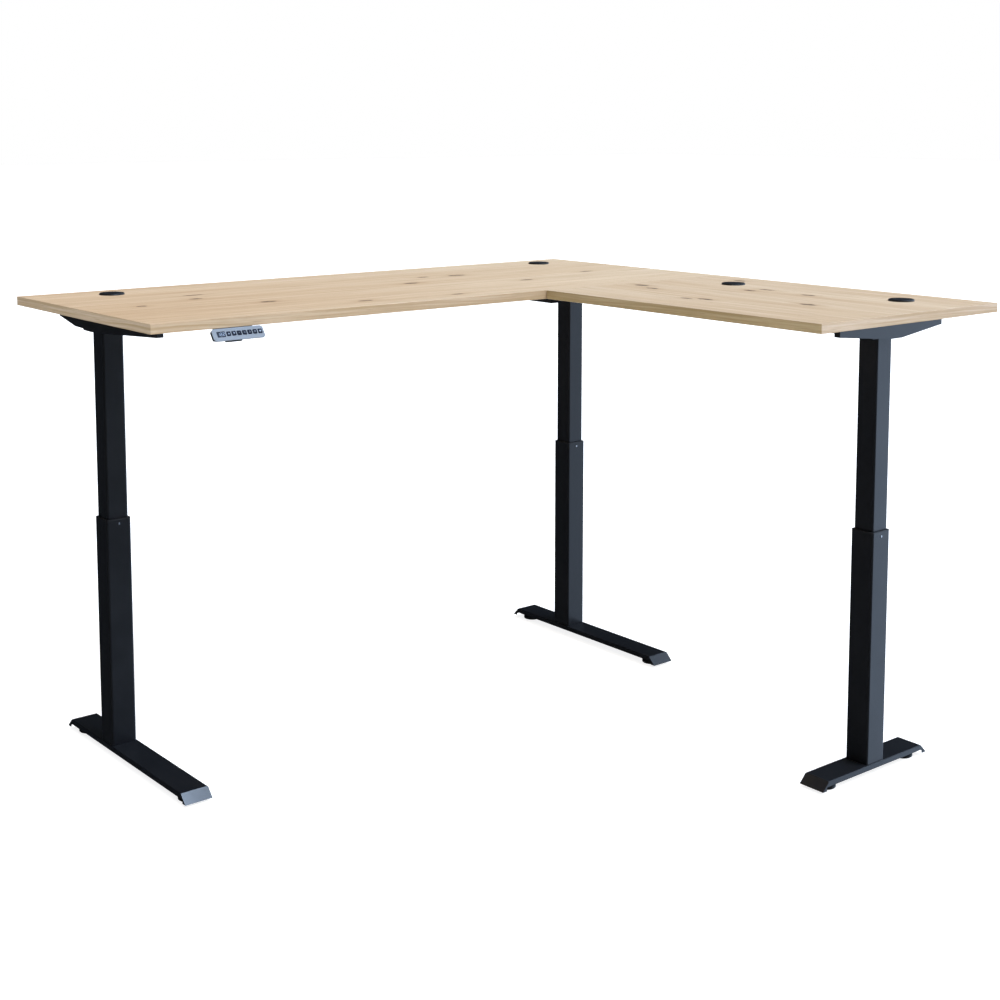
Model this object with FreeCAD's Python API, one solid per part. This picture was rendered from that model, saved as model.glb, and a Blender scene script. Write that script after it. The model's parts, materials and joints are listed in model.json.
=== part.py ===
import FreeCAD, Part
import math
import os

# Height adjustable L-shaped standing desk. Millimetres, +Z up, +Y away from the user's main side,
# origin on the floor under the centre of the L's bounding rectangle.

# Desk tops
MAIN_LENGTH = 2000.0
MAIN_DEPTH = 815.0
RETURN_REACH = 1835.0          # outer corner to the free end of the return
RETURN_WIDTH = 735.0
TOP_THICKNESS = 25.0
TOP_HEIGHT = 1220.0            # raised working height
EDGE_ROUND = 1.0

RIGHT = MAIN_LENGTH / 2
LEFT = -RIGHT
BACK = RETURN_REACH / 2
END = -BACK
FRONT = BACK - MAIN_DEPTH
INNER = RIGHT - RETURN_WIDTH
UNDER = TOP_HEIGHT - TOP_THICKNESS

# Leg axes in plan: position, turn about Z that points the leg's local +X along its rails
LEGS = {
    "left": {"at": (LEFT + 82.0, BACK - 406.0), "turn": 0.0},
    "corner": {"at": (RIGHT - 280.0, BACK - 406.0), "turn": 180.0},
    "right": {"at": (RIGHT - 444.0, END + 63.0), "turn": 90.0},
}
LEG_ROW_Y = BACK - 406.0

# Feet: reach of the flat plate ahead of and behind the column, before the turned-down ends
FOOT_REACH = {"left": (426.0, 220.0), "corner": (426.0, 220.0), "right": (191.0, 191.0)}
FOOT_WIDTH = 77.0
FOOT_TOP = 32.0
FOOT_SKIRT = 18.0
FOOT_LIP = 8.0
FOOT_GAUGE = 2.5
GLIDE_INSET = 30.0
GLIDE_RADIUS = 28.0
GLIDE_BOSS_BOTTOM = 15.0

# Two-stage square columns
OUTER_SIZE = 70.0
INNER_SIZE = 60.0
TUBE_WALL = 2.0
OUTER_ROUND = 5.0
OUTER_TOP = 650.0
END_PLATE = 8.0
COLLAR_FLANGE = 4.0
COLLAR_SKIRT = 50.0
COLLAR_SCREW_Z = OUTER_TOP - 10.0
RUNNING = 0.05
LOOSE = 0.3
INNER_BOTTOM = 551.0
INNER_TOP = 1158.0
HEAD_PLATE = 4.0
SLIDER_FLANGE = 4.0

# Lift drive inside each column
SPINDLE_RADIUS = 8.0
SPINDLE_BOTTOM = 545.0
SPINDLE_TOP = 1128.0
PIPE_RADIUS = 15.0
PIPE_BORE = 11.0
NUT_BOTTOM = 560.0
NUT_TOP = 585.0
GEARBOX_RADIUS = 25.0
GEARBOX_BOTTOM = 1100.0
MOTOR_RADIUS = 20.0
MOTOR_LENGTH = 120.0

# Steel frame under the tops
RAIL_WIDTH = 20.0
RAIL_WALL = 2.0
RAIL_SPREAD = 40.0             # rail axis to column axis
RAIL_BOTTOM = INNER_TOP + HEAD_PLATE
TAB_THICKNESS = 3.0
ARM_WIDTH = 18.0
ARM_GAUGE = 2.5
ARM_INSIDE = 30.0              # column axis to the arm's inner face
MAIN_RAIL_SPAN = (LEGS["left"]["at"][0] - ARM_INSIDE, LEGS["corner"]["at"][0] + ARM_INSIDE)
RETURN_RAIL_SPAN = (LEGS["right"]["at"][1] - ARM_INSIDE, LEG_ROW_Y - RAIL_SPREAD - RAIL_WIDTH / 2)

# Underside of each arm along local Y: distance from the column, depth below the top
ARM_PROFILES = {
    "left": ((197.0, 12.0), (97.0, 32.0), (50.0, 33.0), (46.0, 37.0), (0.0, 38.0), (-55.0, 36.0), (-375.0, 15.0)),
    "corner": ((375.0, 15.0), (55.0, 36.0), (0.0, 38.0), (-46.0, 37.0), (-50.0, 33.0), (-97.0, 32.0),
               (-197.0, 12.0)),
    "right": ((202.0, 18.0), (0.0, 38.0), (-46.0, 38.0), (-214.0, 16.0)),
}

# Control box behind the corner column's head
CONTROL = {
    "x": (LEGS["corner"]["at"][0] - 48.0, LEGS["corner"]["at"][0] + 62.0),
    "y": (LEG_ROW_Y + 40.0, LEG_ROW_Y + 280.0),
}
CONTROL_BOTTOM = UNDER - 82.0
CONTROL_TOP = UNDER - 42.0

# Cable grommets, by plan position
GROMMETS = (
    (LEFT + 230.0, BACK - 122.0),
    (RIGHT - 176.0, BACK - 124.0),
    (RIGHT - 186.0, BACK - 1042.0),
    (RIGHT - 162.0, BACK - 1639.0),
)
GROMMET_HOLE = 30.3
GROMMET_FLANGE = 35.5
GROMMET_SEAT = 0.5             # depth of the shallow seat the flange is let into
GROMMET_LIP = 5.0

# Handset under the main front edge
HANDSET_LEFT = LEFT + 162.0
HANDSET_WIDTH = 146.0
PANEL_TOP = (FRONT - 2.5, UNDER - 0.5)     # y, z of the face's upper edge
PANEL_RUN = 21.0
PANEL_DROP = 28.0
SLOPE = math.hypot(PANEL_RUN, PANEL_DROP)
PANEL_ROUND = 8.0
PANEL_THICKNESS = 2.0
HANDSET_THICKNESS = 10.0
BUTTON_COUNT = 7
BUTTON_FIRST = 45.0
BUTTON_PITCH = 15.0
BUTTON_ROW = 18.5              # up the face, for the buttons and the display
BUTTON_SIZE = (11.6, 12.6)
BUTTON_ROUND = 2.0
BUTTON_PROUD = 1.2
BUTTON_GAP = 0.3
POCKET_DEPTH = 7.0
DISPLAY_SIZE = (23.0, 16.0)
DISPLAY_CENTRE = 24.0

V = FreeCAD.Vector
UP = V(0, 0, 1)


def box(x0, x1, y0, y1, z0, z1):
    return Part.makeBox(x1 - x0, y1 - y0, z1 - z0, V(x0, y0, z0))


def cylinder(radius, x, y, z0, z1):
    return Part.makeCylinder(radius, z1 - z0, V(x, y, z0))


def prism(points, direction):
    """A solid swept along direction from a closed outline of 3-D points."""
    corners = [V(*p) for p in points]
    return Part.Face(Part.makePolygon(corners + corners[:1])).extrude(direction)


def rounded_bar(size_x, size_y, radius, z0, z1):
    """An upright bar about the Z axis with rounded vertical corners."""
    bar = box(-size_x / 2, size_x / 2, -size_y / 2, size_y / 2, z0, z1)
    uprights = [e for e in bar.Edges if abs(e.Vertexes[0].Z - e.Vertexes[1].Z) > 1e-6]
    return bar.makeFillet(radius, uprights)


def tube(size, wall, radius, z0, z1):
    outside = rounded_bar(size, size, radius, z0, z1)
    inside = rounded_bar(size - 2 * wall, size - 2 * wall, radius - wall, z0 - 1, z1 + 1)
    return outside.cut(inside)


def lathe(profile):
    """A solid turned about the Z axis from (radius, z) points."""
    points = [V(r, 0, z) for r, z in profile]
    return Part.Face(Part.makePolygon(points + points[:1])).revolve(V(0, 0, 0), UP, 360)


def placed(shape, leg):
    """Moves a shape from leg coordinates to its place in the desk."""
    x, y = LEGS[leg]["at"]
    return shape.copy().rotated(V(0, 0, 0), UP, LEGS[leg]["turn"]).translated(V(x, y, 0))


def save(name, solids):
    shape = solids if isinstance(solids, Part.Shape) else Part.makeCompound(solids)
    shape.exportStep(f"parts/{name}.step")


# ---- Feet and glides ---------------------------------------------------------------------------

def foot_outline(ahead, behind, inset, x):
    """Side outline of a foot along Y, inset from its outer skin."""
    slant = FOOT_TOP - FOOT_LIP
    top = FOOT_TOP - inset
    corner = inset * math.tan(math.pi / 8)
    lip = inset * math.sqrt(2)
    return [
        (x, -ahead - slant + lip, FOOT_LIP),
        (x, -ahead + corner, top),
        (x, behind - corner, top),
        (x, behind + slant - lip, FOOT_LIP),
    ]


def make_foot(ahead, behind):
    """Folded steel foot along Y: top plate, side skirts and slanted ends, with glide bosses."""
    half = FOOT_WIDTH / 2
    body = prism(foot_outline(ahead, behind, 0, -half), V(FOOT_WIDTH, 0, 0))
    long_edges = [
        e for e in body.Edges
        if abs(e.Vertexes[0].Z - FOOT_TOP) < 1e-6 and abs(e.Vertexes[1].Z - FOOT_TOP) < 1e-6
        and abs(e.Vertexes[0].X - e.Vertexes[1].X) < 1e-6
    ]
    body = body.makeFillet(3.0, long_edges)
    inner_half = half - FOOT_GAUGE
    body = body.cut(prism(foot_outline(ahead, behind, FOOT_GAUGE, -inner_half), V(2 * inner_half, 0, 0)))
    skirt_drop = FOOT_TOP - FOOT_SKIRT
    body = body.cut(box(-half - 1, half + 1, -ahead - skirt_drop + 6, behind + skirt_drop - 6, 0, FOOT_SKIRT))
    for y in glide_spots(ahead, behind):
        body = body.fuse(cylinder(7.0, 0, y, GLIDE_BOSS_BOTTOM, FOOT_TOP - FOOT_GAUGE))
        body = body.cut(cylinder(4.0 + RUNNING, 0, y, 0, FOOT_TOP - FOOT_GAUGE))
    for x, y in bolt_spots():
        body = body.cut(cylinder(4.0 + LOOSE, x, y, 0, FOOT_TOP + 1))
    return body.removeSplitter()


def glide_spots(ahead, behind):
    return (-ahead + GLIDE_INSET, behind - GLIDE_INSET)


def bolt_spots():
    return [(x, y) for x in (-22.0, 22.0) for y in (-22.0, 22.0)]


def make_glide(y):
    """Levelling glide: round pad with a threaded stem screwed up into the foot."""
    r = GLIDE_RADIUS
    profile = [
        (0, 0), (r - 1.5, 0), (r, 1.5), (r, 7.5), (r - 2, 9.5), (9.0, 11.0), (9.0, 14.0),
        (4.0, 14.0), (4.0, 28.5), (3.5, 29.0), (0, 29.0),
    ]
    return lathe(profile).translated(V(0, y, 0))


def make_foot_bolts():
    """Hexagon bolts from under the foot into the column's end plate."""
    bolts = []
    seat = FOOT_TOP - FOOT_GAUGE
    for x, y in bolt_spots():
        corners = [
            (x + 7.0 * math.cos(math.radians(60 * k)), y + 7.0 * math.sin(math.radians(60 * k)), seat - 5.0)
            for k in range(6)
        ]
        head = prism(corners, V(0, 0, 5.0))
        bolts.append(head.fuse(cylinder(4.0, x, y, seat, FOOT_TOP + END_PLATE - 1)).removeSplitter())
    return bolts


# ---- Columns -----------------------------------------------------------------------------------

def make_outer_column():
    """Outer square tube with the end plate welded in its foot."""
    column = tube(OUTER_SIZE, TUBE_WALL, OUTER_ROUND, FOOT_TOP, OUTER_TOP)
    plate = rounded_bar(OUTER_SIZE - TUBE_WALL, OUTER_SIZE - TUBE_WALL, OUTER_ROUND - 1,
                        FOOT_TOP, FOOT_TOP + END_PLATE)
    column = column.fuse(plate)
    for x, y in bolt_spots():
        column = column.cut(cylinder(4.0 + LOOSE, x, y, 0, FOOT_TOP + END_PLATE + 1))
    return column.removeSplitter()


def make_collar():
    """Plastic guide ring: flange on the tube's end, skirt hanging inside it, sliding fit on the inner tube."""
    flange = rounded_bar(OUTER_SIZE, OUTER_SIZE, OUTER_ROUND, OUTER_TOP, OUTER_TOP + COLLAR_FLANGE)
    skirt_size = OUTER_SIZE - 2 * (TUBE_WALL + LOOSE)
    skirt = rounded_bar(skirt_size, skirt_size, OUTER_ROUND - TUBE_WALL - LOOSE,
                        OUTER_TOP - COLLAR_SKIRT, OUTER_TOP)
    bore = INNER_SIZE + 2 * RUNNING
    opening = rounded_bar(bore, bore, OUTER_ROUND + RUNNING, OUTER_TOP - COLLAR_SKIRT - 1,
                          OUTER_TOP + COLLAR_FLANGE + 1)
    collar = flange.fuse(skirt).cut(opening)
    return collar.removeSplitter()


def collar_screw_along(y0, y1, radius):
    """A bar on the collar screw's axis, in desk directions about the column."""
    return Part.makeCylinder(radius, y1 - y0, V(0, y0, COLLAR_SCREW_Z), V(0, 1, 0))


def make_collar_screw():
    """Small pan-head screw through the outer tube's front face into the collar."""
    face = -OUTER_SIZE / 2
    head = collar_screw_along(face - 1.2, face, 2.8)
    shank = collar_screw_along(face, face + 3.6, 1.2)
    rim = [e for e in head.Edges if abs(e.CenterOfMass.y - (face - 1.2)) < 1e-6 and e.Length > 10]
    return head.makeFillet(0.8, rim).fuse(shank).removeSplitter()


def make_inner_column():
    """Inner square tube with the head plate welded on top."""
    column = tube(INNER_SIZE, TUBE_WALL, OUTER_ROUND, INNER_BOTTOM, INNER_TOP)
    plate = box(-ARM_INSIDE, 38, -50, 50, INNER_TOP, INNER_TOP + HEAD_PLATE)
    column = column.fuse(plate)
    column = column.cut(cylinder(GEARBOX_RADIUS + LOOSE, 0, 0, INNER_TOP - 1, INNER_TOP + HEAD_PLATE + 1))
    for x, y in head_bolt_spots():
        seat = lathe([(0, INNER_TOP - 1), (6.0 + LOOSE, INNER_TOP - 1), (3.0 + LOOSE, INNER_TOP + 2),
                      (3.0 + LOOSE, RAIL_BOTTOM + 1), (0, RAIL_BOTTOM + 1)])
        column = column.cut(seat.translated(V(x, y, 0)))
    return column.removeSplitter()


def head_bolt_spots():
    return [(x, y) for x in (-14.0, 24.0) for y in (-43.0, 43.0)]


def make_slider():
    """Plastic guide block that closes the inner tube's lower end and runs in the outer tube."""
    plate_size = OUTER_SIZE - 2 * (TUBE_WALL + RUNNING)
    plate = rounded_bar(plate_size, plate_size, OUTER_ROUND - TUBE_WALL + RUNNING,
                        INNER_BOTTOM - SLIDER_FLANGE, INNER_BOTTOM)
    plug_size = INNER_SIZE - 2 * (TUBE_WALL + LOOSE)
    plug = rounded_bar(plug_size, plug_size, OUTER_ROUND - TUBE_WALL - LOOSE, INNER_BOTTOM, INNER_BOTTOM + 20)
    hole = cylinder(PIPE_RADIUS + 2, 0, 0, INNER_BOTTOM - 10, INNER_BOTTOM + 30)
    return plate.fuse(plug).cut(hole).removeSplitter()


def make_lift_nut():
    """Standing pipe on the end plate with the spindle nut at its top."""
    base = FOOT_TOP + END_PLATE
    bore = SPINDLE_RADIUS + RUNNING
    return lathe([
        (PIPE_BORE, base), (21.0, base), (21.0, base + 5), (PIPE_RADIUS, base + 5), (PIPE_RADIUS, NUT_TOP - 1),
        (PIPE_RADIUS - 1, NUT_TOP), (bore, NUT_TOP), (bore, NUT_BOTTOM), (PIPE_BORE, NUT_BOTTOM - 3),
    ])


def make_spindle():
    r = SPINDLE_RADIUS
    return lathe([
        (0, SPINDLE_BOTTOM), (r - 1.5, SPINDLE_BOTTOM), (r, SPINDLE_BOTTOM + 1.5),
        (r, SPINDLE_TOP - 1), (r - 1, SPINDLE_TOP), (0, SPINDLE_TOP),
    ])


def make_gear_motor():
    """Worm gearbox standing in the column head, with its motor lying between the rails."""
    neck = cylinder(GEARBOX_RADIUS, 0, 0, GEARBOX_BOTTOM, RAIL_BOTTOM)
    half = RAIL_SPREAD - RAIL_WIDTH / 2 - 2
    case_top = UNDER - 2
    case = box(-half, half, -half, half, RAIL_BOTTOM, case_top)
    case = case.makeFillet(4.0, [e for e in case.Edges if abs(e.Vertexes[0].Z - e.Vertexes[1].Z) > 1e-6])
    axis_z = case_top - MOTOR_RADIUS
    shaft = Part.makeCylinder(8.0, 16.0, V(half - 2, 0, axis_z + 6), V(1, 0, 0))
    motor = Part.makeCylinder(MOTOR_RADIUS, MOTOR_LENGTH, V(41, 0, axis_z), V(1, 0, 0))
    motor = motor.makeFillet(2.0, [e for e in motor.Edges if e.Length > 2 * MOTOR_RADIUS * 3 and e.Closed])
    socket = cylinder(SPINDLE_RADIUS + RUNNING, 0, 0, GEARBOX_BOTTOM - 1, SPINDLE_TOP + 1)
    return neck.fuse([case, shaft, motor]).cut(socket).removeSplitter()


# ---- Side arms ---------------------------------------------------------------------------------

def arm_screw_spots(leg):
    ends = ARM_PROFILES[leg]
    return (ends[0][0] - 25.0, 70.0 if ends[0][0] > 300 else -70.0, ends[-1][0] + 25.0)


def make_arm(leg):
    """Pressed steel arm, an inverted channel with a tapered underside, open below."""
    ends = ARM_PROFILES[leg]
    outline = [(-ARM_INSIDE - ARM_WIDTH, y, UNDER - depth) for y, depth in ends]
    outline += [(-ARM_INSIDE - ARM_WIDTH, ends[-1][0], UNDER), (-ARM_INSIDE - ARM_WIDTH, ends[0][0], UNDER)]
    arm = prism(outline, V(ARM_WIDTH, 0, 0))
    hollow = box(
        -ARM_INSIDE - ARM_WIDTH + ARM_GAUGE, -ARM_INSIDE - ARM_GAUGE,
        ends[-1][0] + ARM_GAUGE, ends[0][0] - ARM_GAUGE, UNDER - 60, UNDER - TAB_THICKNESS,
    )
    arm = arm.cut(hollow)
    for y in arm_screw_spots(leg):
        arm = arm.cut(cylinder(2.3 + LOOSE, -ARM_INSIDE - ARM_WIDTH / 2, y, UNDER - 10, UNDER + 1))
    return arm


# ---- Rails -------------------------------------------------------------------------------------

def make_rail(start, end):
    """Box-section rail along +X about its own axis, with screw tabs on its outer (+Y) side."""
    half = RAIL_WIDTH / 2
    rail = box(start, end, -half, half, RAIL_BOTTOM, UNDER)
    rail = rail.cut(box(start - 1, end + 1, -half + RAIL_WALL, half - RAIL_WALL, RAIL_BOTTOM + RAIL_WALL,
                        UNDER - RAIL_WALL))
    for x in tab_spots(start, end):
        tab = box(x - 14, x + 14, half, half + 20, UNDER - TAB_THICKNESS, UNDER)
        rail = rail.fuse(tab).cut(cylinder(2.3 + LOOSE, x, half + 11, UNDER - 10, UNDER + 1))
    return rail


def tab_spots(start, end):
    return (start + 120, (start + end) / 2, end - 120)


def rail_places():
    """Each rail: span, turn about Z, plan position of its axis, whether its tabs face local -Y."""
    start, end = MAIN_RAIL_SPAN
    places = [
        ("main", start, end, False, 0.0, (0.0, LEG_ROW_Y + RAIL_SPREAD)),
        ("main", start, end, True, 0.0, (0.0, LEG_ROW_Y - RAIL_SPREAD)),
    ]
    start, end = RETURN_RAIL_SPAN
    x = LEGS["right"]["at"][0]
    places += [
        ("return", start, end, False, 90.0, (x - RAIL_SPREAD, 0.0)),
        ("return", start, end, True, 90.0, (x + RAIL_SPREAD, 0.0)),
    ]
    return places


def place_rail(shape, flipped, turn, at):
    if flipped:
        shape = shape.mirror(V(0, 0, 0), V(0, 1, 0))
    return shape.copy().rotated(V(0, 0, 0), UP, turn).translated(V(at[0], at[1], 0))


# ---- Screws into the tops ----------------------------------------------------------------------

def wood_screw(x, y):
    """Pan-head wood screw driven up through 3 mm steel into the top."""
    seat = UNDER - TAB_THICKNESS
    head = lathe([(0, seat - 2.8), (3.0, seat - 2.8), (4.5, seat - 1.5), (4.5, seat), (0, seat)])
    shank = cylinder(2.3, 0, 0, seat, UNDER + 13)
    return head.fuse(shank).removeSplitter().translated(V(x, y, 0))


def screw_hole(x, y):
    return cylinder(2.3 + LOOSE, x, y, UNDER - 1, UNDER + 14)


def screw_places():
    """Plan positions of every wood screw."""
    spots = []
    for leg in LEGS:
        for y in arm_screw_spots(leg):
            spots.append(placed(Part.Vertex(-ARM_INSIDE - ARM_WIDTH / 2, y, 0), leg).Point)
    for _, start, end, flipped, turn, at in rail_places():
        for x in tab_spots(start, end):
            spots.append(place_rail(Part.Vertex(x, RAIL_WIDTH / 2 + 11, 0), flipped, turn, at).Point)
    return [(p.x, p.y) for p in spots]


def head_bolt():
    """Countersunk bolt, flush under a head plate, up into a rail."""
    return lathe([(0, INNER_TOP), (5.0, INNER_TOP), (3.0, INNER_TOP + 2), (3.0, RAIL_BOTTOM + RAIL_WALL + 6),
                  (0, RAIL_BOTTOM + RAIL_WALL + 6)])


# ---- Tops --------------------------------------------------------------------------------------

def make_board(x0, x1, y0, y1, screws):
    board = box(x0, x1, y0, y1, UNDER, TOP_HEIGHT)
    board = board.makeFillet(EDGE_ROUND, board.Edges)
    for x, y in GROMMETS:
        if x0 < x < x1 and y0 < y < y1:
            board = board.cut(cylinder(GROMMET_HOLE, x, y, UNDER - 1, TOP_HEIGHT + 1))
            board = board.cut(cylinder(GROMMET_FLANGE + LOOSE, x, y, TOP_HEIGHT - GROMMET_SEAT, TOP_HEIGHT + 1))
    for x, y in screws:
        if x0 < x < x1 and y0 < y < y1:
            board = board.cut(screw_hole(x, y))
    return board


def make_grommet_ring(x, y):
    """Flanged sleeve set in a cable hole."""
    top = TOP_HEIGHT + GROMMET_LIP
    seat = TOP_HEIGHT - GROMMET_SEAT
    sleeve = GROMMET_HOLE - LOOSE
    ring = lathe([
        (sleeve - 2, UNDER + 2), (sleeve, UNDER + 2), (sleeve, seat), (GROMMET_FLANGE, seat),
        (GROMMET_FLANGE, top - 2.5), (GROMMET_FLANGE - 0.8, top - 0.8), (GROMMET_FLANGE - 2.2, top),
        (sleeve + 0.5, top), (sleeve + 0.5, top - 1.5), (sleeve - 2, top - 1.5),
    ])
    return ring.translated(V(x, y, 0))


def make_grommet_cap(x, y):
    """Shallow domed cap that drops into the ring and turns in it."""
    top = TOP_HEIGHT + GROMMET_LIP
    rim = GROMMET_HOLE - LOOSE + 0.5 - RUNNING
    skirt = GROMMET_HOLE - LOOSE - 2 - RUNNING
    cap = lathe([
        (0, top + 1.4), (rim * 0.4, top + 1.2), (rim * 0.75, top + 0.7), (rim - 1.5, top), (rim, top - 0.6),
        (rim, top - 1.5),
        (skirt, top - 1.5), (skirt, top - 9), (skirt - 2, top - 9), (skirt - 2, top - 2.5), (0, top - 2.5),
    ])
    return cap.translated(V(x, y, 0))


# ---- Control box -------------------------------------------------------------------------------

def control_screws():
    x0, x1 = CONTROL["x"]
    y0, y1 = CONTROL["y"]
    return [(x0 - 9.0, y0 + 60), (x0 - 9.0, y1 - 40), (x1 + 9.0, y0 + 60), (x1 + 9.0, y1 - 40)]


def make_control_box():
    """Plastic power and control box on two hanger straps, with its sockets in the rear end."""
    x0, x1 = CONTROL["x"]
    y0, y1 = CONTROL["y"]
    case = box(x0, x1, y0, y1, CONTROL_BOTTOM, CONTROL_TOP)
    case = case.makeFillet(3.0, case.Edges)
    for y in (y0 + 60, y1 - 40):
        strap_outer = box(x0 - 2, x1 + 2, y - 12, y + 12, CONTROL_TOP - 30, UNDER)
        strap_inner = box(x0, x1, y - 13, y + 13, CONTROL_TOP - 31, UNDER + 1)
        case = case.fuse(strap_outer.cut(strap_inner))
        for flange in (box(x0 - 18, x0, y - 12, y + 12, UNDER - TAB_THICKNESS, UNDER),
                       box(x1, x1 + 18, y - 12, y + 12, UNDER - TAB_THICKNESS, UNDER)):
            case = case.fuse(flange)
    for x, y in control_screws():
        case = case.cut(cylinder(2.3 + LOOSE, x, y, UNDER - 10, UNDER + 1))
    for k in range(4):
        x = x0 + 14 + 16 * k
        case = case.cut(box(x, x + 10, y1 - 12, y1 + 1, CONTROL_BOTTOM + 18, CONTROL_BOTTOM + 28))
    case = case.cut(box(x1 - 34, x1 - 8, y1 - 14, y1 + 1, CONTROL_BOTTOM + 12, CONTROL_BOTTOM + 32))
    return case.removeSplitter()


# ---- Handset -----------------------------------------------------------------------------------

def on_panel(shape):
    """Moves a shape drawn flat (x along the face, y up the face, z out of it, origin at the face's
    lower left corner) onto the sloping face."""
    tilt = math.degrees(math.atan2(PANEL_DROP, PANEL_RUN))
    low = V(HANDSET_LEFT, PANEL_TOP[0] - PANEL_RUN, PANEL_TOP[1] - PANEL_DROP)
    return shape.copy().rotated(V(0, 0, 0), V(1, 0, 0), tilt).translated(low)


def pad(x, y, size_x, size_y, z0, z1, radius):
    bar = rounded_bar(size_x, size_y, radius, z0, z1)
    return bar.translated(V(x, y, 0))


def button_centres():
    return [BUTTON_FIRST + BUTTON_PITCH * k for k in range(BUTTON_COUNT)]


def button_opening(centre, z0):
    width, height = BUTTON_SIZE
    return pad(centre, BUTTON_ROW, width + 2 * BUTTON_GAP, height + 2 * BUTTON_GAP, z0, 1,
               BUTTON_ROUND + BUTTON_GAP)


def make_handset_panel():
    """Light face plate with the button openings and the display seat."""
    width, height = DISPLAY_SIZE
    panel = pad(HANDSET_WIDTH / 2, SLOPE / 2, HANDSET_WIDTH, SLOPE, -PANEL_THICKNESS, 0, PANEL_ROUND)
    panel = panel.cut(pad(DISPLAY_CENTRE, BUTTON_ROW, width + 2 * BUTTON_GAP, height + 2 * BUTTON_GAP,
                          -0.8, 1, 1.8))
    for x in button_centres():
        panel = panel.cut(button_opening(x, -PANEL_THICKNESS - 1))
    return on_panel(panel)


def make_handset_body():
    """Thin dark housing behind the face, with a mounting block under the top and a rib below."""
    back = -HANDSET_THICKNESS
    shell = pad(HANDSET_WIDTH / 2, SLOPE / 2, HANDSET_WIDTH, SLOPE, back, -PANEL_THICKNESS, PANEL_ROUND)
    shell = shell.makeFillet(1.5, [e for e in shell.Edges if max(v.Z for v in e.Vertexes) < back + 1e-6])
    shell = shell.cut(prism([(-1, -1, -PANEL_THICKNESS), (-1, -1, back - 1), (-1, 8, back - 1)],
                            V(HANDSET_WIDTH + 2, 0, 0)))
    shell = shell.fuse(box(33.0, 79.0, -0.5, 10.0, back + 1.0, -PANEL_THICKNESS - 2))
    for centre in button_centres():
        shell = shell.cut(button_opening(centre, -POCKET_DEPTH))
    x = HANDSET_LEFT + 25.0
    y = PANEL_TOP[0]
    block = prism(
        [(x, y + 4.0, UNDER), (x, y + 36.0, UNDER), (x, y + 36.0, UNDER - 9.0), (x, y + 12.0, UNDER - 15.0),
         (x, y - 0.5, UNDER - 14.0)],
        V(HANDSET_WIDTH - 50.0, 0, 0),
    )
    for sx, sy in handset_screws():
        block = block.cut(cylinder(2.3 + LOOSE, sx, sy, UNDER - 10, UNDER + 1))
        block = block.cut(cylinder(5.0, sx, sy, UNDER - 40, UNDER - TAB_THICKNESS))
    return on_panel(shell).fuse(block).removeSplitter()


def handset_screws():
    y = PANEL_TOP[0] + 27.0
    return [(HANDSET_LEFT + 35.0, y), (HANDSET_LEFT + HANDSET_WIDTH - 35.0, y)]


def make_button(centre):
    """Push button standing proud of the face, with travel left behind it."""
    width, height = BUTTON_SIZE
    key = pad(centre, BUTTON_ROW, width, height, -5.0, BUTTON_PROUD, BUTTON_ROUND)
    rim = [e for e in key.Edges if min(v.Z for v in e.Vertexes) > BUTTON_PROUD - 1e-6]
    return on_panel(key.makeFillet(0.5, rim))


def make_display():
    width, height = DISPLAY_SIZE
    return on_panel(pad(DISPLAY_CENTRE, BUTTON_ROW, width, height, -0.8, 0.2, 1.5))


# ---- Build -------------------------------------------------------------------------------------

def build_leg(leg):
    ahead, behind = FOOT_REACH[leg]
    across = FreeCAD.Rotation(UP, 90 if leg == "right" else 0)
    x, y = LEGS[leg]["at"]

    def under(shape):
        """Foot parts are drawn along Y; the right leg's foot lies along X."""
        turned = shape.copy()
        turned.Placement = FreeCAD.Placement(V(x, y, 0), across).multiply(turned.Placement)
        return turned

    save(f"{leg}_foot", under(make_foot(ahead, behind)))
    for name, spot in zip(("front", "rear"), glide_spots(ahead, behind)):
        save(f"{leg}_glide_{name}", under(make_glide(spot)))
    save(f"{leg}_foot_bolts", [under(bolt) for bolt in make_foot_bolts()])
    screw_room = collar_screw_along(-40, -OUTER_SIZE / 2 + 4, 1.2 + LOOSE).translated(V(x, y, 0))
    save(f"{leg}_column_outer", placed(make_outer_column(), leg).cut(screw_room))
    save(f"{leg}_collar", placed(make_collar(), leg).cut(screw_room))
    save(f"{leg}_collar_screw", make_collar_screw().translated(V(x, y, 0)))
    save(f"{leg}_lift_nut", placed(make_lift_nut(), leg))
    save(f"{leg}_column_inner", placed(make_inner_column(), leg))
    save(f"{leg}_slider", placed(make_slider(), leg))
    save(f"{leg}_spindle", placed(make_spindle(), leg))
    save(f"{leg}_gear_motor", placed(make_gear_motor(), leg))
    save(f"{leg}_side_arm", placed(make_arm(leg), leg))


def build_frame():
    bolt_holes = []
    bolts = []
    for leg in LEGS:
        for bx, by in head_bolt_spots():
            bolts.append(placed(head_bolt().translated(V(bx, by, 0)), leg))
            hole = cylinder(3.0 + LOOSE, bx, by, RAIL_BOTTOM - 1, RAIL_BOTTOM + RAIL_WALL + 1)
            bolt_holes.append(placed(hole, leg))
    rails = {"main": [], "return": []}
    for name, start, end, flipped, turn, at in rail_places():
        rail = place_rail(make_rail(start, end), flipped, turn, at)
        rails[name].append(rail.cut(bolt_holes).removeSplitter())
    save("main_rails", rails["main"])
    save("return_rails", rails["return"])
    screws = screw_places() + control_screws() + handset_screws()
    save("frame_screws", [wood_screw(x, y) for x, y in screws] + bolts)
    save("control_box", make_control_box())
    save("main_top", make_board(LEFT, RIGHT, FRONT, BACK, screws))
    save("return_top", make_board(INNER, RIGHT, END, FRONT, screws))


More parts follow.
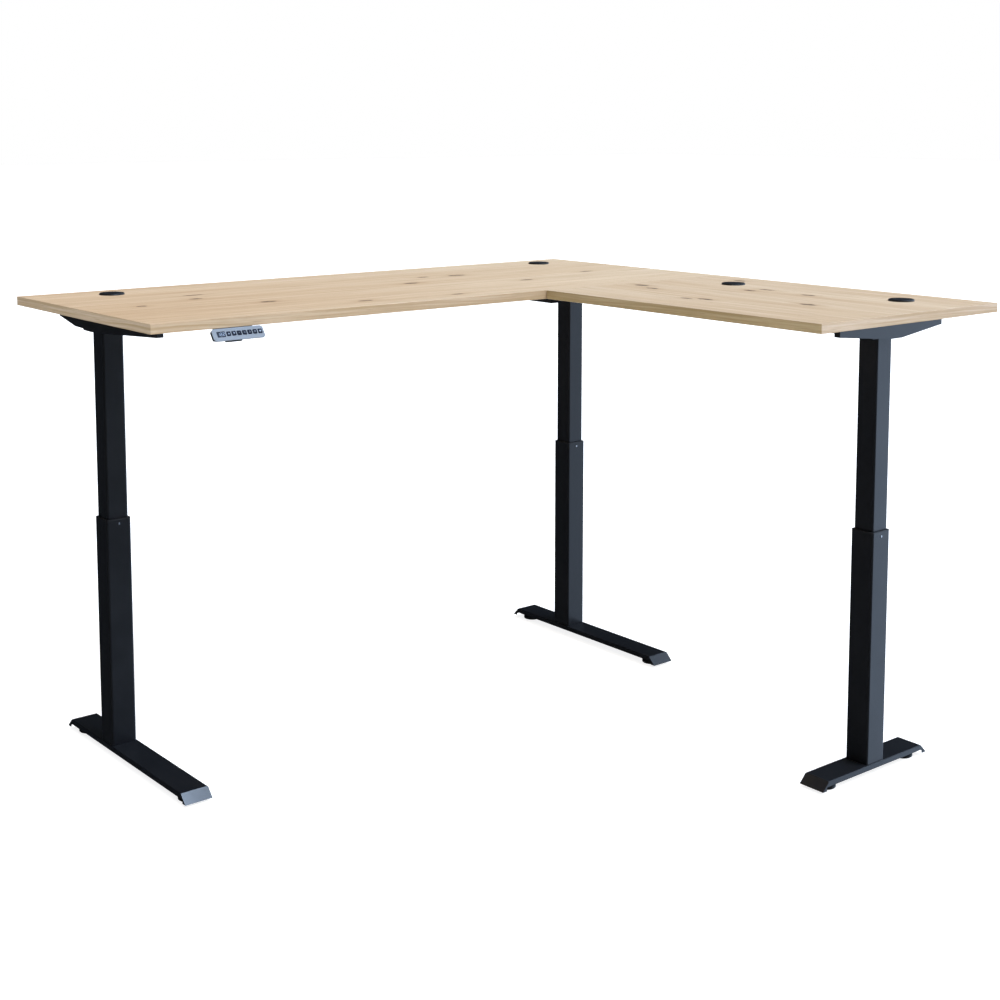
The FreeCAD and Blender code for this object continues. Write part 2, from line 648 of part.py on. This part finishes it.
def build_fittings():
    save("grommet_rings", [make_grommet_ring(x, y) for x, y in GROMMETS])
    for number, (x, y) in enumerate(GROMMETS, 1):
        save(f"grommet_cap_{number}", make_grommet_cap(x, y))
    save("handset_body", make_handset_body())
    save("handset_panel", make_handset_panel())
    save("handset_display", make_display())
    for number, centre in enumerate(button_centres(), 1):
        save(f"button_{number}", make_button(centre))


os.makedirs("parts", exist_ok=True)
for leg_name in LEGS:
    build_leg(leg_name)
build_frame()
build_fittings()
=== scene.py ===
import json
import math

import bmesh
import bpy
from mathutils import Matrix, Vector


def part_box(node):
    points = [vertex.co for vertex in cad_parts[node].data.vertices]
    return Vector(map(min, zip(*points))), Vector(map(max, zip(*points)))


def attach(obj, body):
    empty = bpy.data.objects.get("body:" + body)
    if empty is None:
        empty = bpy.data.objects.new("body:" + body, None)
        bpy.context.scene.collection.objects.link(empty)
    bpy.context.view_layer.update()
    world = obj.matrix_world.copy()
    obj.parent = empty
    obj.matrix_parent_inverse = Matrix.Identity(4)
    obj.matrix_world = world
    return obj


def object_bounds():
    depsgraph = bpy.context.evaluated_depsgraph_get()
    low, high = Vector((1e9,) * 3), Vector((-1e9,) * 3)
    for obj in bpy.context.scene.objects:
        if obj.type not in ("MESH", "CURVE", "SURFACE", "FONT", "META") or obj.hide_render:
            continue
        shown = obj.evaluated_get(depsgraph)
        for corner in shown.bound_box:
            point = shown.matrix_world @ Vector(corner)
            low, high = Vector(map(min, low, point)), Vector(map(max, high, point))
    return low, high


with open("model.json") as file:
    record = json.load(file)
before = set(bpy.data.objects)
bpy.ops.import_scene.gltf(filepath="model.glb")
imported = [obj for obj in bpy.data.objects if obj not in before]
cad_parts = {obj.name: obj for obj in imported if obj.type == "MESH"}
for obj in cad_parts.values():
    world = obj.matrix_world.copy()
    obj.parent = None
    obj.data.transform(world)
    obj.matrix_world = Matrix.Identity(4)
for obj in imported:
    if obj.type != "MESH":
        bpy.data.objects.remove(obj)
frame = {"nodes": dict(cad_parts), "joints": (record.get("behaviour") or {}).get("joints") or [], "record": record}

CAD_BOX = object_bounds()

# Camera: a normal lens a little above the desk top, from the front left
LENS_MM = 57.228
CAMERA_AT = (-2.74797, -3.39116, 1.70089)
CAMERA_DOWN = 6.305          # degrees below the horizon
CAMERA_TURN = 39.084         # degrees to the right of +Y
CAMERA_SHIFT = -0.2

# Light
SUN_STRENGTH = 3.1
SUN_ANGLE = 100.0            # degrees: a very soft overhead light
SUN_LEAN = (12.0, 14.0)      # degrees about X and Y
SUN_COLOUR = (1.0, 0.985, 0.96)
KEY_TOWARDS = (0.966, -0.259, 0.0)
KEY_EDGE = 0.62              # cosine at which the wide key light fades out
KEY_BRIGHT = 2.1
CARD_TOWARDS = (0.270, -0.460, 0.846)
CARD_EDGE = 0.955            # the same for the small card, which is bright and near the top
CARD_BRIGHT = 21.0
ROOM_DARK = 0.02             # what the rest of the room gives
ROOM_COLOUR = (0.74, 0.93, 1.22)
FLOOR_HALF = 60.0
FLOOR_GLOW = 0.85
FLOOR_DROP = 0.0005          # metres below the glides

# Knots and cracks in the board decor, as shares of the board's extent from its lowest corner:
# (along X, along Y, half length and half width in metres)
MAIN_KNOTS = (
    (0.24, 0.31, 0.030, 0.017),
    (0.18, 0.54, 0.026, 0.013),
    (0.08, 0.45, 0.018, 0.014),
    (0.20, 0.65, 0.042, 0.010),
    (0.54, 0.51, 0.034, 0.017),
    (0.67, 0.65, 0.040, 0.020),
    (0.61, 0.67, 0.028, 0.011),
    (0.71, 0.34, 0.030, 0.013),
    (0.35, 0.13, 0.030, 0.013),
    (0.50, 0.10, 0.026, 0.012),
    (0.88, 0.46, 0.034, 0.013),
)
RETURN_KNOTS = (
    (0.43, 0.93, 0.034, 0.017),
    (0.38, 0.85, 0.028, 0.013),
    (0.88, 0.84, 0.026, 0.013),
    (0.25, 0.55, 0.034, 0.014),
    (0.22, 0.60, 0.028, 0.010),
    (0.62, 0.63, 0.026, 0.014),
    (0.69, 0.61, 0.036, 0.010),
    (0.41, 0.29, 0.034, 0.016),
    (0.66, 0.44, 0.030, 0.013),
)

# Painted light on the decor, per board: first a painted light gradient across the face from its low-X end to its
# high-X end (on the main board darker and warmer at the left, lighter and paler at the right), then painted shade
# on the edge bands that look along X and along Y
MAIN_PAINTED_LIGHT_RAMP = ((0.965, 0.89, 0.81), (1.04, 1.055, 1.06))
MAIN_PAINTED_BAND_SHADE = ((1.04, 1.03, 1.03), (0.84, 0.79, 0.74))
RETURN_PAINTED_LIGHT_RAMP = ((0.995, 0.995, 0.99), (0.985, 0.975, 0.96))
RETURN_PAINTED_BAND_SHADE = ((0.86, 0.82, 0.64), (0.91, 0.89, 0.92))

# Decor colours
OAK_DEEP = (0.500, 0.372, 0.245)
OAK_PALE = (0.548, 0.428, 0.298)
OAK_STREAK = (0.395, 0.270, 0.165)
OAK_LINE = (0.350, 0.240, 0.145)
OAK_LIGHT_LINE = (0.660, 0.550, 0.415)
OAK_PORE = (0.230, 0.150, 0.090)
OAK_FLECK = (0.235, 0.145, 0.080)
OAK_HALO = (0.330, 0.205, 0.110)
OAK_CRACK = (0.070, 0.042, 0.026)
OAK_BAND = (0.400, 0.290, 0.160)

# Grain of the decor, as noise scales per metre along and across the board
PLANK_GRAIN = (0.28, 5.2)
WANDER_GRAIN = (0.9, 3.2)
STREAK_GRAIN = (0.75, 26.0)
LINE_GRAIN = (2.6, 150.0)
PORE_GRAIN = (38.0, 1150.0)
FLECK_GRAIN = (15.0, 210.0)
FLECK_GROUPS = (1.6, 9.0)
CRACK_GRAIN = (55.0, 170.0)
GRAIN_SWAY = 0.075           # metres that a line may wander sideways
KNOT_PUSH = 0.10             # share of the sway that a knot adds
EDGE_LAYER = 0.37            # level of the noise that the edge bands show

# Handset marks, in metres
RIGHT_WAY = Vector((1, 0, 0))
GLYPH_RAISE = 0.00012
BEVEL_START = 0.6            # share of the raise at which a mark begins to narrow
BEVEL_WIDTH = 0.94           # share of its width that is left at the top
ARROW_SIZE = 0.0030
DISC_RADIUS = 0.0026
DOT_RADIUS = 0.0008
DOT_PITCH = 0.0026
DIGIT_HEIGHT = 0.0085
DIGIT_WIDTH = 0.0046
DIGIT_STROKE = 0.0011
DIGIT_GAP = 0.0022
READOUT = (1, 2, 2)
SEGMENTS_LIT = {1: "bc", 2: "abged"}


class Finish:
    """A node material under construction, with short calls for the nodes used again and again."""

    def __init__(self, name):
        self.material = bpy.data.materials.new(name)
        self.material.use_nodes = True
        self.tree = self.material.node_tree
        self.tree.nodes.clear()
        output = self.add("ShaderNodeOutputMaterial")
        self.shader = self.add("ShaderNodeBsdfPrincipled")
        self.tree.links.new(self.shader.outputs["BSDF"], output.inputs["Surface"])
        self.coords = self.add("ShaderNodeTexCoord")

    def add(self, kind, **settings):
        node = self.tree.nodes.new(kind)
        for key, value in settings.items():
            setattr(node, key, value)
        return node

    def put(self, socket, value):
        if isinstance(value, bpy.types.NodeSocket):
            self.tree.links.new(value, socket)
        else:
            socket.default_value = value

    def set(self, **values):
        """Values or sockets for the Principled shader, by input name with _ for a space."""
        for key, value in values.items():
            self.put(self.shader.inputs[key.replace("_", " ")], value)

    def math(self, operation, a, b=0.0):
        node = self.add("ShaderNodeMath", operation=operation)
        self.put(node.inputs[0], a)
        self.put(node.inputs[1], b)
        return node.outputs[0]

    def vector(self, operation, a, b=(0.0, 0.0, 0.0)):
        node = self.add("ShaderNodeVectorMath", operation=operation)
        self.put(node.inputs[0], a)
        self.put(node.inputs[1], b)
        return node.outputs["Value" if operation == "LENGTH" else "Vector"]

    def split(self, vector):
        node = self.add("ShaderNodeSeparateXYZ")
        self.put(node.inputs[0], vector)
        return node.outputs[0], node.outputs[1], node.outputs[2]

    def join(self, x, y, z):
        node = self.add("ShaderNodeCombineXYZ")
        for socket, value in zip(node.inputs, (x, y, z)):
            self.put(socket, value)
        return node.outputs[0]

    def noise(self, vector, scale, detail, roughness=0.5):
        node = self.add("ShaderNodeTexNoise")
        self.put(node.inputs["Vector"], vector)
        self.put(node.inputs["Scale"], scale)
        self.put(node.inputs["Detail"], detail)
        self.put(node.inputs["Roughness"], roughness)
        return node.outputs["Fac"]

    def remap(self, value, low, high, to_low, to_high, smooth=True):
        node = self.add("ShaderNodeMapRange", interpolation_type="SMOOTHSTEP" if smooth else "LINEAR")
        for socket, item in zip(node.inputs[:5], (value, low, high, to_low, to_high)):
            self.put(socket, item)
        return node.outputs[0]

    def mix(self, share, a, b):
        """Blend of two colours."""
        node = self.add("ShaderNodeMix", data_type="RGBA")
        self.put(node.inputs["Factor"], share)
        self.put(node.inputs[6], a)
        self.put(node.inputs[7], b)
        return node.outputs[2]

    def bump(self, height, distance, strength):
        node = self.add("ShaderNodeBump")
        self.put(node.inputs["Height"], height)
        self.put(node.inputs["Distance"], distance)
        self.put(node.inputs["Strength"], strength)
        self.put(self.shader.inputs["Normal"], node.outputs["Normal"])


def rgb(r, g, b):
    return (r, g, b, 1.0)


# ---- Materials ---------------------------------------------------------------------------------


def stretch(f, place, scales, seed=0.0):
    """Place stretched to the given scales along and across the grain, moved on by seed."""
    moved = f.vector("ADD", place, (seed, seed * 0.7, 0.0))
    return f.vector("MULTIPLY", moved, (*scales, 1.0))


def knot_masks(f, face_place, board, along_x, knots):
    """Halo that the grain bends round, and the dark crack in it, for all the knots of a board."""
    low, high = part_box(board)
    halo = crack = 0.0
    for share_x, share_y, length, width in knots:
        at_x = low.x + share_x * (high.x - low.x)
        at_y = low.y + share_y * (high.y - low.y)
        centre = (at_x, at_y, 0.0) if along_x else (at_y, at_x, 0.0)
        away = f.vector("SUBTRACT", face_place, centre)
        near = f.vector("LENGTH", f.vector("MULTIPLY", away, (1 / length, 1 / width, 1.0)))
        halo = f.math("MAXIMUM", f.remap(near, 0.7, 2.6, 1.0, 0.0), halo)
        crack = f.math("MAXIMUM", f.remap(near, 0.60, 0.96, 1.0, 0.0), crack)
    return halo, crack


def oak(name, board, along_x, knots, painted_ramp, shade_band_x, shade_band_y):
    """Matt light oak decor. The grain runs along X or Y on the faces and along each edge band.
    The argument after the knots paints a light gradient on the face from its low-X end to its high-X end; the last
    two paint shade on the edge bands that look along X and along Y."""
    f = Finish(name)
    x, y, z = f.split(f.coords.outputs["Object"])
    along, across = (x, y) if along_x else (y, x)
    normal_x, _, normal_z = (f.math("ABSOLUTE", part) for part in f.split(f.coords.outputs["Normal"]))
    edge = f.math("LESS_THAN", normal_z, 0.5)
    face_place = f.join(along, across, 0.0)
    pick = f.add("ShaderNodeMix", data_type="VECTOR")
    f.put(pick.inputs["Factor"], edge)
    f.put(pick.inputs[4], face_place)
    f.put(pick.inputs[5], f.join(f.math("ADD", x, y), z, EDGE_LAYER))
    place = pick.outputs[1]

    halo, crack = knot_masks(f, face_place, board, along_x, knots)
    on_face = f.math("SUBTRACT", 1.0, edge)
    halo = f.math("MULTIPLY", halo, on_face)
    ragged = f.remap(f.noise(stretch(f, place, CRACK_GRAIN, 2.0), 1.0, 3.0, 0.6), 0.40, 0.50, 0.30, 1.0)
    crack = f.math("MULTIPLY", f.math("MULTIPLY", crack, on_face), ragged)

    # Figure: long streaks that wander, closer lines inside them, then pores and flecks
    wander = f.noise(stretch(f, place, WANDER_GRAIN, 5.0), 1.0, 2.0)
    warp = f.math("MULTIPLY", f.math("ADD", wander, f.math("MULTIPLY", halo, KNOT_PUSH)), GRAIN_SWAY)
    bent = f.vector("ADD", place, f.join(0.0, warp, 0.0))
    streak = f.noise(stretch(f, bent, STREAK_GRAIN), 1.0, 5.0, 0.58)
    line = f.noise(stretch(f, bent, LINE_GRAIN), 1.0, 4.0, 0.6)
    pore = f.noise(stretch(f, bent, PORE_GRAIN), 1.0, 2.0, 0.5)
    plank = f.noise(stretch(f, place, PLANK_GRAIN, 11.0), 1.0, 1.0)
    fleck = f.noise(stretch(f, place, FLECK_GRAIN, 23.0), 1.0, 3.0, 0.6)
    fleck_group = f.noise(stretch(f, place, FLECK_GROUPS, 31.0), 1.0, 2.0)
    density = f.remap(fleck_group, 0.46, 0.60, 0.0, 0.62)
    flecks = f.math("MULTIPLY", f.remap(fleck, 0.62, 0.72, 0.0, 1.0), density)

    tone = f.mix(f.remap(plank, 0.38, 0.62, 0.0, 1.0), rgb(*OAK_DEEP), rgb(*OAK_PALE))
    layers = (
        (f.remap(streak, 0.36, 0.66, 0.46, 0.0), OAK_STREAK),
        (f.remap(line, 0.50, 0.64, 0.0, 0.52), OAK_LINE),
        (f.remap(line, 0.32, 0.47, 0.42, 0.0), OAK_LIGHT_LINE),
        (f.remap(pore, 0.56, 0.70, 0.0, 0.22), OAK_PORE),
        (flecks, OAK_FLECK),
        (f.math("MULTIPLY", halo, 0.30), OAK_HALO),
        (f.math("MULTIPLY", crack, 0.92), OAK_CRACK),
    )
    for share, colour in layers:
        tone = f.mix(share, tone, rgb(*colour))
    edge_tone = f.mix(f.remap(line, 0.35, 0.65, 0.25, 0.95), tone, rgb(*OAK_BAND))
    # Painted shade: the edge bands get darker or lighter by whether they face along X or along Y
    painted_band_shade = f.mix(f.math("GREATER_THAN", normal_x, 0.7), rgb(*shade_band_y), rgb(*shade_band_x))
    low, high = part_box(board)
    # Painted light: a gradient across the face from its low-X end to its high-X end
    painted_face_ramp = f.mix(f.remap(x, low.x, high.x, 0.0, 1.0, smooth=False), rgb(*painted_ramp[0]), rgb(*painted_ramp[1]))
    # The painted light gradient on the faces and the painted shade on the bands both multiply the decor colour
    painted_light = f.mix(edge, painted_face_ramp, painted_band_shade)
    f.set(Base_Color=f.vector("MULTIPLY", f.mix(edge, tone, edge_tone), painted_light))

    rough = f.remap(line, 0.3, 0.7, 0.50, 0.62)
    f.set(Roughness=f.math("ADD", rough, f.math("MULTIPLY", pore, 0.06)), Specular_IOR_Level=0.36)
    relief = f.math("SUBTRACT", f.math("MULTIPLY", line, 0.5), f.math("MULTIPLY", pore, 0.8))
    f.bump(f.math("SUBTRACT", relief, f.math("MULTIPLY", crack, 1.5)), 0.00016, 0.7)
    return f.material


def powder_coat():
    """Near-black powder coat with a fine orange-peel texture and a softly uneven sheen."""
    f = Finish("black_powder")
    place = f.coords.outputs["Object"]
    grit = f.noise(place, 1500.0, 2.0, 0.6)
    peel = f.noise(place, 420.0, 2.0)
    cloud = f.noise(place, 7.0, 3.0, 0.6)
    f.set(Base_Color=f.mix(cloud, rgb(0.0042, 0.0047, 0.0062), rgb(0.0075, 0.0080, 0.0096)))
    sheen = f.remap(cloud, 0.3, 0.7, 0.27, 0.35)
    f.set(Roughness=f.math("ADD", sheen, f.math("MULTIPLY", grit, 0.06)), Specular_IOR_Level=0.5)
    f.bump(f.math("ADD", grit, f.math("MULTIPLY", peel, 0.8)), 0.00005, 0.42)
    return f.material


def moulded_plastic(name, colour, roughness, grain=1800.0, relief=0.00004, specular=0.5):
    """Moulded plastic with a spark-eroded grain and slight flow clouds."""
    f = Finish(name)
    place = f.coords.outputs["Object"]
    spark = f.noise(place, grain, 3.0, 0.6)
    cloud = f.noise(place, 45.0, 2.0)
    darker = rgb(*(c * 0.8 for c in colour))
    f.set(Base_Color=f.mix(cloud, darker, rgb(*colour)), Specular_IOR_Level=specular)
    f.set(Roughness=f.remap(spark, 0.3, 0.7, roughness - 0.05, roughness + 0.06))
    f.bump(spark, relief, 0.5)
    return f.material


def zinc():
    """Zinc-plated steel: drawn lines, a soft spangle and a bluish passivated cast."""
    f = Finish("zinc_plate")
    place = f.coords.outputs["Object"]
    spangle = f.noise(place, 320.0, 4.0, 0.65)
    turned = f.noise(f.vector("MULTIPLY", place, (300.0, 300.0, 4200.0)), 1.0, 2.0)
    f.set(Base_Color=f.mix(spangle, rgb(0.42, 0.43, 0.45), rgb(0.66, 0.67, 0.66)), Metallic=1.0)
    f.set(Roughness=f.remap(spangle, 0.3, 0.7, 0.24, 0.40))
    f.bump(turned, 0.00003, 0.5)
    return f.material


def silver_face():
    """Satin silver-blue lacquer with fine metal flake."""
    f = Finish("silver_lacquer")
    place = f.coords.outputs["Object"]
    flake = f.noise(place, 5200.0, 2.0, 0.7)
    cloud = f.noise(place, 60.0, 2.0)
    base = f.mix(cloud, rgb(0.142, 0.158, 0.176), rgb(0.166, 0.182, 0.202))
    f.set(Base_Color=f.mix(f.remap(flake, 0.55, 0.75, 0.0, 0.5), base, rgb(0.30, 0.32, 0.35)))
    f.set(Metallic=0.1, Roughness=f.remap(flake, 0.3, 0.7, 0.42, 0.54), Specular_IOR_Level=0.3)
    f.bump(flake, 0.00001, 0.3)
    return f.material


def display_glass():
    """Dark tinted window with a hard clear surface and faint wipe marks."""
    f = Finish("display_glass")
    place = f.coords.outputs["Object"]
    wipe = f.noise(f.vector("MULTIPLY", place, (90.0, 700.0, 700.0)), 1.0, 3.0)
    f.set(Base_Color=f.mix(wipe, rgb(0.006, 0.008, 0.014), rgb(0.012, 0.015, 0.024)))
    f.set(Roughness=f.remap(wipe, 0.3, 0.7, 0.16, 0.26), Specular_IOR_Level=0.12)
    return f.material


def printed_mark():
    """Pale print on the keys, slightly worn at its grain."""
    f = Finish("pale_print")
    wear = f.noise(f.coords.outputs["Object"], 4200.0, 2.0)
    worn = f.remap(wear, 0.55, 0.75, 0.0, 0.4)
    f.set(Base_Color=f.mix(worn, rgb(0.20, 0.24, 0.31), rgb(0.10, 0.12, 0.16)))
    f.set(Roughness=f.remap(wear, 0.3, 0.7, 0.45, 0.6))
    return f.material


def lit_segment():
    """Faint bluish-white light of the display digits."""
    f = Finish("lit_segment")
    cells = f.noise(f.coords.outputs["Object"], 2600.0, 1.0)
    glow = f.mix(cells, rgb(0.13, 0.18, 0.27), rgb(0.19, 0.25, 0.35))
    f.set(Base_Color=glow, Emission_Color=glow, Emission_Strength=0.25, Roughness=0.4)
    return f.material


def floor_finish():
    """Plain pale studio floor."""
    f = Finish("studio_floor")
    cloud = f.noise(f.coords.outputs["Object"], 0.8, 2.0)
    f.set(Base_Color=f.mix(cloud, rgb(0.48, 0.48, 0.48), rgb(0.50, 0.50, 0.50)), Roughness=0.9)
    f.set(Specular_IOR_Level=0.1, Emission_Color=rgb(1.0, 1.0, 1.0), Emission_Strength=FLOOR_GLOW)
    return f.material


def dress_nodes():
    """Gives every CAD node its finish, by the material slot the record names for it."""
    by_slot = {
        "powder_coat": powder_coat(),
        "zinc_steel": zinc(),
        "black_plastic": moulded_plastic("black_moulding", (0.010, 0.010, 0.011), 0.42),
        "glide_plastic": moulded_plastic("glide_moulding", (0.006, 0.006, 0.006), 0.55, 900.0),
        "nut_plastic": moulded_plastic("acetal", (0.70, 0.69, 0.64), 0.38),
        "motor_housing": moulded_plastic("motor_paint", (0.020, 0.020, 0.022), 0.50, 700.0),
        "silver_face": silver_face(),
        "display_window": display_glass(),
        "button_rubber": moulded_plastic(
            "button_rubber", (0.004, 0.006, 0.015), 0.60, 2400.0, specular=0.15),
    }
    boards = {
        "main_top": oak("oak_main", "main_top", True, MAIN_KNOTS, MAIN_PAINTED_LIGHT_RAMP, *MAIN_PAINTED_BAND_SHADE),
        "return_top": oak("oak_return", "return_top", False, RETURN_KNOTS, RETURN_PAINTED_LIGHT_RAMP, *RETURN_PAINTED_BAND_SHADE),
    }
    slot_of = {part["node"]: part["material_slot"] for part in frame["record"]["subparts"]}
    for name, node in frame["nodes"].items():
        finish = boards.get(name) or by_slot[slot_of[name]]
        for slot in node.material_slots:
            slot.material = finish


# ---- Handset marks -----------------------------------------------------------------------------


def handset_out():
    """Direction that the sloping face of the handset looks in."""
    press = next(joint for joint in frame["joints"] if joint["name"] == "button_1_press")
    return -Vector(press["axis"]).normalized()


def front_centre(node, out):
    """Middle of the foremost plane of a node, looking against the direction out."""
    points = [vertex.co for vertex in frame["nodes"][node].data.vertices]
    reach = max(point.dot(out) for point in points)
    middle = sum(points, Vector()) / len(points)
    return middle + out * (reach - middle.dot(out))


def raised_shapes(name, outlines, origin, out, finish):
    """One piece made of flat outlines, given as points across and up, that stand up from a plane."""
    up = out.cross(RIGHT_WAY)
    mesh = bmesh.new()
    for outline in outlines:
        rings = []
        middle = sum((Vector(point) for point in outline), Vector((0, 0))) / len(outline)
        for height, inset in ((0.0, 1.0), (GLYPH_RAISE * BEVEL_START, 1.0), (GLYPH_RAISE, BEVEL_WIDTH)):
            ring = []
            for point in outline:
                a, b = middle + (Vector(point) - middle) * inset
                ring.append(mesh.verts.new(origin + RIGHT_WAY * a + up * b + out * height))
            rings.append(ring)
        for below, above in zip(rings, rings[1:]):
            for i in range(len(below)):
                j = (i + 1) % len(below)
                mesh.faces.new((below[i], below[j], above[j], above[i]))
        mesh.faces.new(rings[-1])
        mesh.faces.new(rings[0][::-1])
    bmesh.ops.recalc_face_normals(mesh, faces=mesh.faces)
    data = bpy.data.meshes.new(name)
    mesh.to_mesh(data)
    mesh.free()
    data.materials.append(finish)
    piece = bpy.data.objects.new(name, data)
    bpy.context.scene.collection.objects.link(piece)
    return piece


def disc(centre, radius, count=20):
    """Outline of a disc."""
    turns = [2 * math.pi * i / count for i in range(count)]
    return [(centre[0] + radius * math.cos(turn), centre[1] + radius * math.sin(turn)) for turn in turns]


def triangle(size, way):
    """Outline of a triangle that points up for way 1 and down for way -1."""
    return [(-size, -0.6 * size * way), (size, -0.6 * size * way), (0.0, 0.9 * size * way)]


def dots(count):
    """One to four dots for a height memory."""
    places = {
        1: [(0, 0)],
        2: [(-0.5, 0), (0.5, 0)],
        3: [(-0.5, -0.5), (0.5, -0.5), (0, 0.5)],
        4: [(-0.5, -0.5), (0.5, -0.5), (-0.5, 0.5), (0.5, 0.5)],
    }[count]
    return [disc((a * DOT_PITCH, b * DOT_PITCH), DOT_RADIUS) for a, b in places]


def bar(a, b, half):
    """Pointed bar of a seven-segment digit from point a to point b."""
    start, end = Vector(a), Vector(b)
    run = (end - start).normalized()
    side = Vector((-run.y, run.x))
    start, end = start + run * half * 0.25, end - run * half * 0.25
    return [start, start + (run + side) * half, end + (side - run) * half,
            end, end - (run + side) * half, start + (run - side) * half]


def digit(value, left):
    """Lit bars of one seven-segment digit, from the segments that the readout needs."""
    right, top, half = left + DIGIT_WIDTH, DIGIT_HEIGHT / 2, DIGIT_STROKE / 2
    ends = {
        "a": ((left, top), (right, top)), "b": ((right, 0), (right, top)), "c": ((right, -top), (right, 0)),
        "d": ((left, -top), (right, -top)), "e": ((left, -top), (left, 0)), "g": ((left, 0), (right, 0)),
    }
    return [bar(*ends[segment], half) for segment in SEGMENTS_LIT[value]]


def mark_handset():
    """Raised marks on the keys and the height readout in the display."""
    out = handset_out()
    print_finish = printed_mark()
    marks = [[triangle(ARROW_SIZE, 1)], [triangle(ARROW_SIZE, -1)]]
    marks += [dots(count) for count in (1, 2, 3, 4)]
    marks.append([disc((0, 0), DISC_RADIUS)])
    for number, outlines in enumerate(marks, 1):
        key_front = front_centre(f"button_{number}", out)
        mark = raised_shapes(f"mark_{number}", outlines, key_front, out, print_finish)
        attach(mark, f"key_{number}")
    pitch = DIGIT_WIDTH + DIGIT_GAP
    first = -(len(READOUT) * pitch - DIGIT_GAP) / 2
    bars = []
    for place, value in enumerate(READOUT):
        bars += digit(value, first + place * pitch)
    window = front_centre("handset_display", out)
    readout = raised_shapes("display_digits", bars, window, out, lit_segment())
    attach(readout, "desk_top")


# ---- Studio ------------------------------------------------------------------------------------


def build_floor():
    """Plain pale floor, which the glossy parts don't reflect."""
    mesh = bmesh.new()
    bmesh.ops.create_grid(mesh, x_segments=8, y_segments=8, size=FLOOR_HALF)
    data = bpy.data.meshes.new("floor")
    mesh.to_mesh(data)
    mesh.free()
    data.materials.append(floor_finish())
    floor = bpy.data.objects.new("floor", data)
    floor.location.z = CAD_BOX[0].z - FLOOR_DROP
    floor.visible_glossy = False
    bpy.context.scene.collection.objects.link(floor)


def build_world():
    """Pale all round to the eye, and lit by a wide key from the right and a small card above."""
    world = bpy.data.worlds.new("studio")
    world.use_nodes = True
    tree = world.node_tree
    tree.nodes.clear()
    link = tree.links.new

    def add(kind, **settings):
        node = tree.nodes.new(kind)
        for key, value in settings.items():
            setattr(node, key, value)
        return node

    coords = add("ShaderNodeTexCoord")

    def light(towards, edge, brightness):
        """Radiance that fades out from one direction to a cosine of edge away from it."""
        facing = add("ShaderNodeVectorMath", operation="DOT_PRODUCT")
        facing.inputs[1].default_value = Vector(towards).normalized()
        link(coords.outputs["Generated"], facing.inputs[0])
        fade = add("ShaderNodeMapRange", interpolation_type="SMOOTHSTEP")
        for socket, value in zip(fade.inputs[1:5], (edge, 1.0, 0.0, brightness)):
            socket.default_value = value
        link(facing.outputs["Value"], fade.inputs[0])
        return fade.outputs[0]

    both = add("ShaderNodeMath", operation="ADD")
    link(light(KEY_TOWARDS, KEY_EDGE, KEY_BRIGHT), both.inputs[0])
    link(light(CARD_TOWARDS, CARD_EDGE, CARD_BRIGHT), both.inputs[1])
    total = add("ShaderNodeMath", operation="ADD")
    link(both.outputs[0], total.inputs[0])
    total.inputs[1].default_value = ROOM_DARK
    lit, seen = add("ShaderNodeBackground"), add("ShaderNodeBackground")
    lit.inputs["Color"].default_value = rgb(*ROOM_COLOUR)
    seen.inputs["Color"].default_value = rgb(1.0, 1.0, 1.0)
    link(total.outputs[0], lit.inputs["Strength"])
    path, mix = add("ShaderNodeLightPath"), add("ShaderNodeMixShader")
    output = add("ShaderNodeOutputWorld")
    link(path.outputs["Is Camera Ray"], mix.inputs[0])
    link(lit.outputs[0], mix.inputs[1])
    link(seen.outputs[0], mix.inputs[2])
    link(mix.outputs[0], output.inputs["Surface"])
    bpy.context.scene.world = world


def build_sun():
    """Soft overhead light, kept out of the reflections."""
    sun = bpy.data.lights.new("overhead", "SUN")
    sun.energy = SUN_STRENGTH
    sun.angle = math.radians(SUN_ANGLE)
    sun.color = SUN_COLOUR
    lamp = bpy.data.objects.new("overhead", sun)
    lamp.rotation_euler = (math.radians(SUN_LEAN[0]), math.radians(SUN_LEAN[1]), 0)
    lamp.visible_glossy = False
    bpy.context.scene.collection.objects.link(lamp)


def build_camera():
    """Camera at the photograph's viewpoint, tilted a little and shifted for the rest."""
    camera = bpy.data.cameras.new("camera")
    camera.lens = LENS_MM
    camera.shift_y = CAMERA_SHIFT
    holder = bpy.data.objects.new("camera", camera)
    holder.location = CAMERA_AT
    holder.rotation_euler = (math.radians(90 - CAMERA_DOWN), 0, -math.radians(CAMERA_TURN))
    bpy.context.scene.collection.objects.link(holder)
    bpy.context.scene.camera = holder


dress_nodes()
mark_handset()
build_floor()
build_world()
build_sun()
build_camera()
bpy.context.scene.view_settings.view_transform = "Standard"
